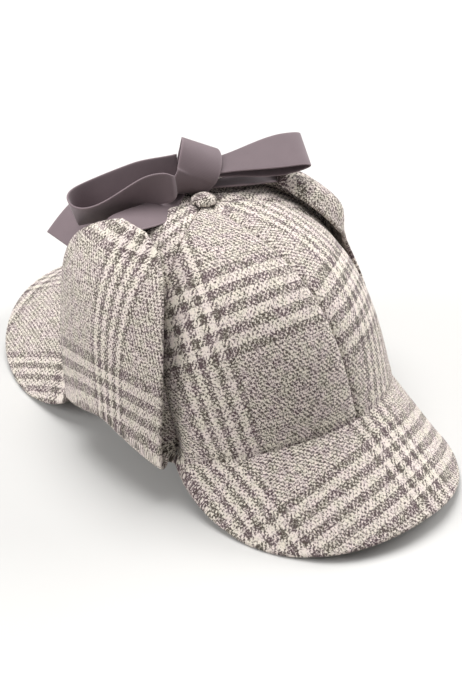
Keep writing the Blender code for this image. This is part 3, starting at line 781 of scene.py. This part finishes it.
def make_crown_panels():
    """The crown's six tapered panels, sewn to each other and to the brims."""
    wall = sizes().crown_wall
    for index, (node, _, check) in enumerate(PANELS):
        start, end = panel_span(index)

        def surface(u, v):
            turn, rise = start + (end - start) * u, PANEL_TOP_RISE * v
            swell = PANEL_FULLNESS * np.sin(pi * u) * np.cos(rise)
            return off_crown(turn, rise, swell - wall / 2)

        def spread(points):
            middle = points.shape[1] // 2
            across = run_length(points, 1)
            along = run_length(points, 0)[:, [middle]]
            return np.stack((across - across[:, [middle]], along + 0 * across), axis=-1)

        def relief(u, v, points):
            across, along = run_length(points, 1), run_length(points, 0)
            from_seam = np.minimum(across, across[:, [-1]] - across)
            seams = ridge(from_seam, *PANEL_SEAM) + ridge(from_seam, *PANEL_EASE)
            seams = seams + ridge(along, *RIM_TUCK) + ridge(along, *RIM_ROLL)
            from_front = np.degrees(np.arccos(np.cos(start + (end - start) * u)))
            hollow = ridge(from_front, HOLLOW_DEPTH, HOLLOW_TURN, HOLLOW_SPREAD)
            hollow = hollow * ridge(along, 1, 0, HOLLOW_HEIGHT)
            hollow = hollow * (1 - ridge(along, 1, 0, HOLLOW_START))
            return seams + hollow + waves(points, *PANEL_WAVES, index)

        place, cut, area = lay_flat(surface, spread, check)
        piece = cloth_piece(node + "_cloth", surface, wall, 56, 84, place, finish(woven_tweed),
                            relief, outside=-1, edge=PANEL_EDGE)
        dress(piece, node)


def make_button():
    """The button on the crown's top, covered with gathered tweed."""
    dome = bmesh.new()
    bmesh.ops.create_uvsphere(dome, u_segments=72, v_segments=44, radius=1.0)
    for vertex in dome.verts:
        x, y, z = vertex.co
        turn = np.arctan2(y, x)
        low = max(0.0, BUTTON_GATHER_END - z)
        gathers = [deep * sin(count * turn + first) for deep, count, first in BUTTON_GATHERS]
        depth, closeness = BUTTON_LUMPS
        lump = 1 + depth * noise.noise(Vector((x, y, z)) * closeness)
        radius = BUTTON_RADIUS * (1 + low * sum(gathers)) * lump
        height = BUTTON_BELOW + BUTTON_ABOVE * z * lump if z > 0 else BUTTON_BELOW * (1 + z)
        vertex.co = Vector((
            x * radius + CROWN_TOP[0],
            y * radius + CROWN_TOP[1],
            sizes().crown_height + BUTTON_LIFT + BUTTON_HEIGHT * height))
    dome.verts.index_update()
    vertices = [tuple(vertex.co) for vertex in dome.verts]
    faces = [[vertex.index for vertex in face.verts] for face in dome.faces]
    dome.free()
    level = np.array(vertices)[:, :2] - CROWN_TOP
    uvs = level / MM * BUTTON_CUT_EASE + BUTTON_CUT_PLACE
    piece = add_piece("crown_button_cloth", vertices, faces, uvs, finish(woven_tweed))
    dress(piece, "crown_button")


def make_brims():
    """The two brims, each of two layers of cloth sewn round the edge and turned."""
    thick = sizes().brim_thickness
    reaches = {"front_brim": sizes().front_brim_reach, "back_brim": sizes().back_brim_reach}
    for seed, (node, brim) in enumerate(BRIMS.items()):
        ahead = np.array((0.0, -cos(brim["turn"]), 0.0))

        def top(u, v):
            u, v = np.broadcast_arrays(u, v)
            place = np.sin((u - 0.5) * pi) * BRIM_CLOSENESS + (2 * u - 1) * (1 - BRIM_CLOSENESS)
            size = np.minimum(np.abs(place), 1.0)
            turn = brim["turn"] + place * BRIM_HALF_TURN
            straight = brim["straightness"]
            outwards = unit(rim_outward(turn) * (1 - straight) + ahead * straight)
            share = np.maximum(0.0, 1 - size ** brim["fullness"]) ** (1 / brim["corner"])
            reach = (BRIM_END + (reaches[node] - BRIM_END) * share) * v
            slope = brim["slope"] + brim["end_slope"] * place ** 2
            root = off_crown(turn, 0.0, fullness_at(turn, 0.0) - BRIM_TUCK)
            root = root + rim_outward(turn) * wall_lean(turn, thick)[..., None]
            point = root + outwards * (reach * np.cos(slope))[..., None]
            point[..., 2] += thick * BRIM_LIFT - reach * np.sin(slope)
            lowest = REST_HEIGHT + point[..., 1] * tan(REST_TILT) + thick
            above = (point[..., 2] - lowest - REST_SOFTNESS) / REST_SOFTNESS
            settled = lowest + REST_SOFTNESS * np.exp(np.minimum(above, 0.0))
            point[..., 2] = np.where(above < 0, settled, point[..., 2])
            return point

        def surface(u, v):
            inner_u, inner_v = np.clip(u, 0.012, 0.988), np.clip(v, 0.02, 0.98)
            normal = surface_normal(top, inner_u, inner_v)
            normal = np.where(normal[..., 2:] < 0, -normal, normal)
            return top(u, v) - normal * thick / 2

        def spread(points):
            side = -1 if points[0, 0, 0] > points[0, -1, 0] else 1
            reach = run_length(points, 0)[..., None]
            ahead_of = unit(points[-1] - points[0])[..., :2]
            plan = points[0, :, :2] + unit(ahead_of) * reach
            return np.stack((side * plan[..., 0], np.abs(plan[..., 1])), axis=-1)

        def relief(u, v, points):
            stitches = ridge(outline_distance(points), *BRIM_STITCHES)
            return stitches + waves(points, *BRIM_WAVES, 10 + seed)

        place, cut, area = lay_flat(surface, spread, brim["grain"], rows=9)
        piece = cloth_piece(node + "_cloth", surface, thick, 130, 44, place, finish(woven_tweed),
                            relief)
        dress(piece, node)


def flap_rows(table, height):
    """A flap's rows at those heights, in degrees of rise."""
    return smooth_rows(table, [row[FLAP_RISE] for row in table], height)


def flap_place(table, side, u, height, inwards=0.0, curl=0.0):
    """Points on a flap's middle: u from its front to its back edge, height in degrees of rise.

    curl is the share of its gap by which the cloth closes in on the crown at its front edge.
    """
    rows = flap_rows(table, height)
    turn = side * np.radians(rows[..., FLAP_FRONT]
                             + (rows[..., FLAP_BACK] - rows[..., FLAP_FRONT]) * u)
    gap = rows[..., FLAP_FRONT_GAP] + (rows[..., FLAP_BACK_GAP] - rows[..., FLAP_FRONT_GAP]) * u
    low, full = CURL_RISE
    closing = ridge(u, curl, 0, CURL_WIDTH) * np.clip((height - low) / (full - low), 0, 1)
    gap = gap - (gap - FLAP_TOUCH) * closing
    return off_crown(turn, np.radians(height), gap * MM - inwards)


def make_ear_flaps():
    """The two ear flaps, folded up against the crown."""
    thick = sizes().flap_thickness
    for name, table, side in FLAPS:

        def surface(u, v):
            u, v = np.broadcast_arrays(u, v)
            base = flap_place(table, side, u, 0.0 * v)
            front, back = table[0][FLAP_FRONT], table[0][FLAP_BACK]
            turn = side * np.radians(front + (back - front) * u)
            leg = fullness_at(turn, 0.0) + FLAP_LEG_GAP + thick / 2
            leg = leg + wall_lean(turn, 2 * FLAP_LEG)
            root = off_crown(turn, 0.0 * turn, leg)
            outward = rim_outward(turn)
            radius = (np.sum((base - root) * outward, axis=-1) / 2)[..., None]
            root = root + UP * radius
            v1 = v[..., None]
            climb = root + UP * FLAP_LEG * (1 - v1 / FLAP_LEG_END)
            angle = np.clip(pi * (v1 - FLAP_LEG_END) / (FLAP_FOLD_END - FLAP_LEG_END), 0, pi)
            fold = root + outward * radius * (1 - np.cos(angle)) - UP * radius * np.sin(angle)
            share = np.clip((v - FLAP_FOLD_END) / (1 - FLAP_FOLD_END), 0, 1)
            height = FLAP_START + share * (table[-1][FLAP_RISE] - FLAP_START)
            stand = flap_place(table, side, u, height, curl=FLAP_CURL[name])
            return np.where(v1 < FLAP_LEG_END, climb, np.where(v1 < FLAP_FOLD_END, fold, stand))

        def spread(points):
            middle = points.shape[1] // 2
            across, along = run_length(points, 1), run_length(points, 0)
            return np.stack((across - across[:, [middle]], along), axis=-1)

        def relief(u, v, points):
            loose = np.clip((v - FLAP_LOOSE_FROM) / (1 - FLAP_LOOSE_FROM), 0, 1)
            return waves(points, *FLAP_WAVES, 20 + side) * (FLAP_LEAST_LOOSE + loose)

        place, cut, area = lay_flat(surface, spread, FLAP_GRAIN[name])
        piece = cloth_piece("ear_flap_" + name + "_cloth", surface, thick, 70, 110, place,
                            finish(woven_tweed), relief, outside=-side)
        dress(piece, "ear_flap_" + name)


def ribbon_piece(node, path, side_at, width_at, rows, square=True):
    """A stretch of ribbon along path(s), s from 0 to 1, spread to both sides along side_at(s).

    side_at(s) is turned square to the path, unless square is False.
    """
    step = 0.004

    def surface(u, v):
        u, v = np.broadcast_arrays(u, v)
        side = side_at(v)
        if square:
            tangent = unit(path(np.minimum(v + step, 1.0)) - path(np.maximum(v - step, 0.0)))
            side = unit(side - tangent * np.sum(side * tangent, axis=-1, keepdims=True))
        return path(v) + side * ((u - 0.5) * width_at(v))[..., None]

    run = run_length(path(FINE)[:, None, :], 0)[:, 0]
    width = sizes().ribbon_width

    def place(u, v):
        return np.stack(((u - 0.5) * width / MM, np.interp(v, FINE, run) / MM), axis=-1)

    widths = width_at(FINE)
    area = float(np.sum((widths[1:] + widths[:-1]) / 2 * np.diff(run)))
    area = max(area, LEAST_GATHERED * width * run[-1])
    piece = cloth_piece(node + "_band", surface, sizes().ribbon_thickness, 13, rows, place,
                        finish(ribbed_ribbon))
    dress(piece, node)


def loose_ribbon(node, table):
    """A stretch of ribbon through the points of its table."""
    keys = range(len(table))

    def row_at(s):
        return smooth_rows(table, keys, s * (len(table) - 1))

    def path(s):
        return row_at(s)[..., :3] * MM

    def side_at(s):
        ahead = path(np.minimum(s + 0.01, 1.0)) - path(np.maximum(s - 0.01, 0.0))
        lean = np.radians(row_at(s)[..., 4:5])
        return unit(np.cross(ahead, UP)) * np.cos(lean) + UP * np.sin(lean)

    ribbon_piece(node, path, side_at, lambda s: row_at(s)[..., 3] * MM, 24 * (len(table) - 1))


def make_ties():
    """The ribbons from the inside of each flap's top to the knot."""
    inside = sizes().flap_thickness / 2 + TIE_HOLLOW + sizes().ribbon_thickness / 2
    for name, table, side in FLAPS:
        points = []
        for rise in TIE_RISES:
            row = flap_rows(table, np.array(rise))
            share = (TIE_TURN[name] - row[FLAP_FRONT]) / (row[FLAP_BACK] - row[FLAP_FRONT])
            place = flap_place(table, side, share, np.array(rise), inside) / MM
            points.append((*place, sizes().ribbon_width / MM, 0))
        loose_ribbon("tie_ribbon_" + name, (*points, *TIE_ENDS[name]))


def knot_ring(angle):
    """The knot's ring at an angle from its front, as steps from its middle."""
    flat = np.abs(np.cos(angle)) ** KNOT_FLAT * np.sign(np.cos(angle))
    steep = np.abs(np.sin(angle)) ** KNOT_STEEP * np.sign(np.sin(angle))
    height = np.where(steep > 0, KNOT_HALF_HEIGHT, KNOT_DROP)
    depth = np.where(flat > 0, KNOT_HALF_DEPTH, KNOT_BACK_DEPTH)
    back = KNOT_LEAN * KNOT_HALF_HEIGHT * np.maximum(steep, 0.0) ** 1.5
    upper = eased(np.clip(steep + 0.5, 0, 1))
    skew = (KNOT_LOW_SKEW + (KNOT_SKEW - KNOT_LOW_SKEW) * upper)[..., None]
    return ((UP + BOW_ALONG * skew) * (height * steep)[..., None]
            - BOW_BACK * (depth * flat - back)[..., None])


def make_knot():
    """The ribbon that wraps the middle of the bow, and the ribbon gathered inside it."""
    middle = KNOT_CENTRE - BOW_ALONG * KNOT_SHIFT

    def path(s):
        return middle + knot_ring(-pi / 2 + KNOT_OPEN + s * (2 * pi - 2 * KNOT_OPEN))

    def side_at(s):
        tilt, change = KNOT_TILT
        tilt = np.radians(tilt + change * np.sin(-pi / 2 + s * 2 * pi))[..., None]
        return BOW_ALONG * np.cos(tilt) - UP * np.sin(tilt)

    def width_at(s):
        angle = -pi / 2 + s * 2 * pi
        share, above, before = KNOT_WIDTH
        return sizes().ribbon_width * (share + above * np.sin(angle) + before * np.cos(angle))

    ribbon_piece("bow_knot", path, side_at, width_at, 150)

    count, turn, depth = GATHER_PLEATS
    angle = np.linspace(0, 2 * pi, 96, endpoint=False)[None, :]
    bulge = np.linspace(-GATHER_END, GATHER_END, 17)[:, None]
    pleats = 1 + depth * np.cos(count * angle + turn * bulge)
    share = GATHER_SHARE * np.cos(bulge) ** GATHER_BLUNTNESS * pleats
    out = GATHER_REACH * np.sin(bulge)
    points = middle + knot_ring(angle) * share[..., None] + BOW_ALONG * out[..., None]
    index = np.arange(points.shape[0] * points.shape[1]).reshape(points.shape[:2])
    after = np.roll(index, -1, axis=1)
    quads = np.stack((index[:-1], index[1:], after[1:], after[:-1]), axis=-1)
    faces = [*quads.reshape(-1, 4).tolist(), index[0].tolist(), index[-1, ::-1].tolist()]
    uvs = np.stack(np.broadcast_arrays(out, angle * KNOT_HALF_HEIGHT), axis=-1) / MM
    piece = add_piece("bow_knot_gathers", points.reshape(-1, 3), faces, uvs.reshape(-1, 2),
                      finish(ribbed_ribbon))
    dress(piece, "bow_knot")


def make_loops():
    """The bow's two loops."""
    for name, loop in LOOPS.items():
        out = BOW_ALONG * loop["direction"]

        def share_at(s):
            """Share of the loop's reach, out along its near side and back along its far side."""
            return np.maximum(np.sin(pi * s), 0.0) ** LOOP_ROUND

        def near_at(s):
            """1 on the right loop's near side and 0 elsewhere."""
            return (np.asarray(s) < 0.5) * float(name == "right")

        def turned_at(share, reach):
            """From 0 to 1 on a quarter of a round over that reach."""
            return np.sqrt(1 - np.maximum(0.0, 1 - share / reach) ** 2)

        def lean_at(s):
            change = (loop["end_lean"] - loop["lean"]) * share_at(s)
            flare = LOOP_FLARE[name] * np.sin(2 * pi * s)
            return (loop["lean"] + change - flare)[..., None]

        def path(s):
            share = share_at(s)[..., None]
            across = BOW_BACK * np.cos(lean_at(s)) - UP * np.sin(lean_at(s))
            apart = loop["opening"] * (np.sin(2 * pi * s) + LOOP_BELLY * np.sin(4 * pi * s))
            apart = (apart + LOOP_ROOT_GAP * (1 - 2 * s))[..., None]
            lift = loop["root_lift"] * (1 - share) - loop["drop"] * share ** LOOP_DROOP
            near = near_at(s)[..., None]
            forward = NEAR_FORWARD * near * (1 - share) ** 2 * turned_at(share, NEAR_FOLD)
            lift = lift - NEAR_DROP * near * (1 - share) ** 4
            root = LOOP_ROOT + NEAR_OUT * near
            return (KNOT_CENTRE + out * (root + (loop["reach"] - root) * share)
                    - across * apart + BOW_BACK * (loop["sweep"] * share - forward) + UP * lift)

        def side_at(s):
            slant = (LOOP_SLANT[name] * share_at(s))[..., None]
            return UP * np.cos(lean_at(s)) + BOW_BACK * np.sin(lean_at(s)) + out * slant

        def width_at(s):
            share = np.minimum(1.0, (loop["reach"] - LOOP_ROOT) * share_at(s) / loop["spread"])
            round_end = 1 - turned_at(share_at(s), NEAR_ROUND)
            gathered = 1 - NEAR_GATHER * near_at(s) * round_end
            width = loop["root_width"] + (1 - loop["root_width"]) * eased(share)
            return sizes().ribbon_width * width * gathered

        ribbon_piece("bow_loop_" + name, path, side_at, width_at, 170,
                     square=False)


def make_tails():
    """The ribbon's two loose ends, hanging down behind the knot."""
    for name, table in TAILS.items():
        loose_ribbon("bow_tail_" + name, table)


# --- Stage ----------------------------------------------------------------------------------------
# The camera in the hat's own directions, fitted to the photo. Its lens and its aim, in the photo's
# pixels, give the lens and the shift of a 36 mm sensor.
CAMERA_TURN, CAMERA_RISE, CAMERA_ROLL = radians(40.94), radians(33.1), radians(-0.42)
CAMERA_DISTANCE, CAMERA_AIM = 1.1498, np.array((0.0, 0.0, 0.0412))
PHOTO_WIDTH, PHOTO_HEIGHT, PHOTO_LENS, PHOTO_AIM = 462, 693, 2124.61, (227.66, 312.37)
SENSOR = 36
CAMERA_LENS = PHOTO_LENS / PHOTO_HEIGHT * SENSOR
CAMERA_SHIFT = ((PHOTO_WIDTH / 2 - PHOTO_AIM[0]) / PHOTO_HEIGHT,
                (PHOTO_AIM[1] - PHOTO_HEIGHT / 2) / PHOTO_HEIGHT)

FLOOR_HALF_WIDTH = 6.0
ROOM_COLOUR, ROOM_STRENGTH = (1.0, 0.99, 0.985, 1), 0.31
# Soft lights: place (metres from the hat), size, power (watts).
LIGHTS = (
    ("light_top", (0.1, 0.5, 2.2), 1.8, 61.0),
    ("light_behind_right", (-1.8, 0.7, 1.1), 1.3, 28.0),
    ("light_left", (1.75, -0.45, 0.75), 1.3, 35.0),
)


def make_floor():
    """A pale floor of matt backdrop paper: an even tone with hardly any grain."""
    plane = bpy.data.meshes.new("floor")
    grid = bmesh.new()
    bmesh.ops.create_grid(grid, x_segments=1, y_segments=1, size=FLOOR_HALF_WIDTH)
    grid.to_mesh(plane)
    grid.free()
    floor = bpy.data.objects.new("floor", plane)
    bpy.context.scene.collection.objects.link(floor)
    material, tree, shader = new_material("matt_paper")
    pulp = add_node(tree, "ShaderNodeTexNoise", {"Scale": 90.0, "Detail": 3.0})
    shade = add_node(tree, "ShaderNodeMapRange", {"Value": pulp, "To Min": 0.985, "To Max": 1.0})
    colour = add_node(tree, "ShaderNodeVectorMath", {0: tuple(cloth().floor), "Scale": shade},
                      operation="SCALE")
    tree.links.new(colour.outputs[0], shader.inputs["Base Color"])
    shader.inputs["Roughness"].default_value = 0.95
    plane.materials.append(material)


def make_lights():
    """Soft studio light from above, from behind and from the left, in a pale room."""
    world = bpy.data.worlds.new("soft_room")
    world.use_nodes = True
    room = world.node_tree.nodes["Background"].inputs
    room["Color"].default_value = ROOM_COLOUR
    room["Strength"].default_value = ROOM_STRENGTH
    bpy.context.scene.world = world
    bpy.context.scene.view_settings.view_transform = "Standard"
    for name, place, size, power in LIGHTS:
        lamp = bpy.data.lights.new(name, "AREA")
        lamp.shape, lamp.size, lamp.energy = "DISK", size, power
        light = bpy.data.objects.new(name, lamp)
        light.location = place
        light.rotation_euler = (-Vector(place)).to_track_quat("-Z", "Y").to_euler()
        bpy.context.scene.collection.objects.link(light)


def make_camera():
    """The camera, where the photo was taken from."""
    back = np.array((-sin(CAMERA_TURN) * cos(CAMERA_RISE), -cos(CAMERA_TURN) * cos(CAMERA_RISE),
                     sin(CAMERA_RISE)))
    level = np.array((cos(CAMERA_TURN), -sin(CAMERA_TURN), 0.0))
    upright = np.cross(back, level)
    right = level * cos(CAMERA_ROLL) + upright * sin(CAMERA_ROLL)
    up = -level * sin(CAMERA_ROLL) + upright * cos(CAMERA_ROLL)
    place = CAMERA_AIM + back * CAMERA_DISTANCE
    lens = bpy.data.cameras.new("camera")
    lens.sensor_fit, lens.sensor_width, lens.lens = "AUTO", SENSOR, CAMERA_LENS
    lens.shift_x, lens.shift_y = CAMERA_SHIFT
    camera = bpy.data.objects.new("camera", lens)
    rows = [(right[axis], up[axis], back[axis], place[axis]) for axis in range(3)]
    camera.matrix_world = stand_matrix() @ Matrix((*rows, (0, 0, 0, 1)))
    bpy.context.scene.collection.objects.link(camera)
    bpy.context.scene.camera = camera


# --- Add-on ---------------------------------------------------------------------------------------
class HAT_OT_crown_panels(bpy.types.Operator):
    """Build the crown's six panels"""

    bl_idname = "hat.crown_panels"
    bl_label = "Crown Panels"

    def execute(self, context):
        make_crown_panels()
        return {"FINISHED"}


class HAT_OT_button(bpy.types.Operator):
    """Build the covered button on the crown's top"""

    bl_idname = "hat.button"
    bl_label = "Crown Button"

    def execute(self, context):
        make_button()
        return {"FINISHED"}


class HAT_OT_brims(bpy.types.Operator):
    """Build the front and the back brim"""

    bl_idname = "hat.brims"
    bl_label = "Brims"

    def execute(self, context):
        make_brims()
        return {"FINISHED"}


class HAT_OT_ear_flaps(bpy.types.Operator):
    """Build the two ear flaps, folded up"""

    bl_idname = "hat.ear_flaps"
    bl_label = "Ear Flaps"

    def execute(self, context):
        make_ear_flaps()
        return {"FINISHED"}


class HAT_OT_ties(bpy.types.Operator):
    """Build the ribbons between the flaps and the knot"""

    bl_idname = "hat.ties"
    bl_label = "Tie Ribbons"

    def execute(self, context):
        make_ties()
        return {"FINISHED"}


class HAT_OT_bow(bpy.types.Operator):
    """Build the bow's knot, loops and tails"""

    bl_idname = "hat.bow"
    bl_label = "Bow"

    def execute(self, context):
        make_knot()
        make_loops()
        make_tails()
        return {"FINISHED"}


class HAT_OT_stage(bpy.types.Operator):
    """Build the floor, the lights and the camera"""

    bl_idname = "hat.stage"
    bl_label = "Stage"

    def execute(self, context):
        make_floor()
        make_lights()
        make_camera()
        return {"FINISHED"}


class HAT_PT_sidebar(bpy.types.Panel):
    """The hat's sizes, colours and steps in the sidebar"""

    bl_label = "Deerstalker Hat"
    bl_idname = "HAT_PT_sidebar"
    bl_space_type = "VIEW_3D"
    bl_region_type = "UI"
    bl_category = "Hat"

    def draw(self, context):
        for group in (context.scene.hat_sizes, context.scene.hat_cloth):
            box = self.layout.box()
            for key in group.__annotations__:
                box.prop(group, key)
        for operator in OPERATORS:
            self.layout.operator(operator.bl_idname)


OPERATORS = (HAT_OT_crown_panels, HAT_OT_button, HAT_OT_brims, HAT_OT_ear_flaps, HAT_OT_ties,
             HAT_OT_bow, HAT_OT_stage)
CLASSES = (HatSizes, HatCloth, *OPERATORS, HAT_PT_sidebar)


def register():
    for item in CLASSES:
        bpy.utils.register_class(item)
    bpy.types.Scene.hat_sizes = PointerProperty(type=HatSizes)
    bpy.types.Scene.hat_cloth = PointerProperty(type=HatCloth)


def unregister():
    del bpy.types.Scene.hat_cloth
    del bpy.types.Scene.hat_sizes
    for item in reversed(CLASSES):
        bpy.utils.unregister_class(item)


def main():
    """Build the whole hat and its stage."""
    register()
    bpy.ops.hat.crown_panels()
    bpy.ops.hat.button()
    bpy.ops.hat.brims()
    bpy.ops.hat.ear_flaps()
    bpy.ops.hat.ties()
    bpy.ops.hat.bow()
    bpy.ops.hat.stage()


if __name__ == "__main__":
    main()
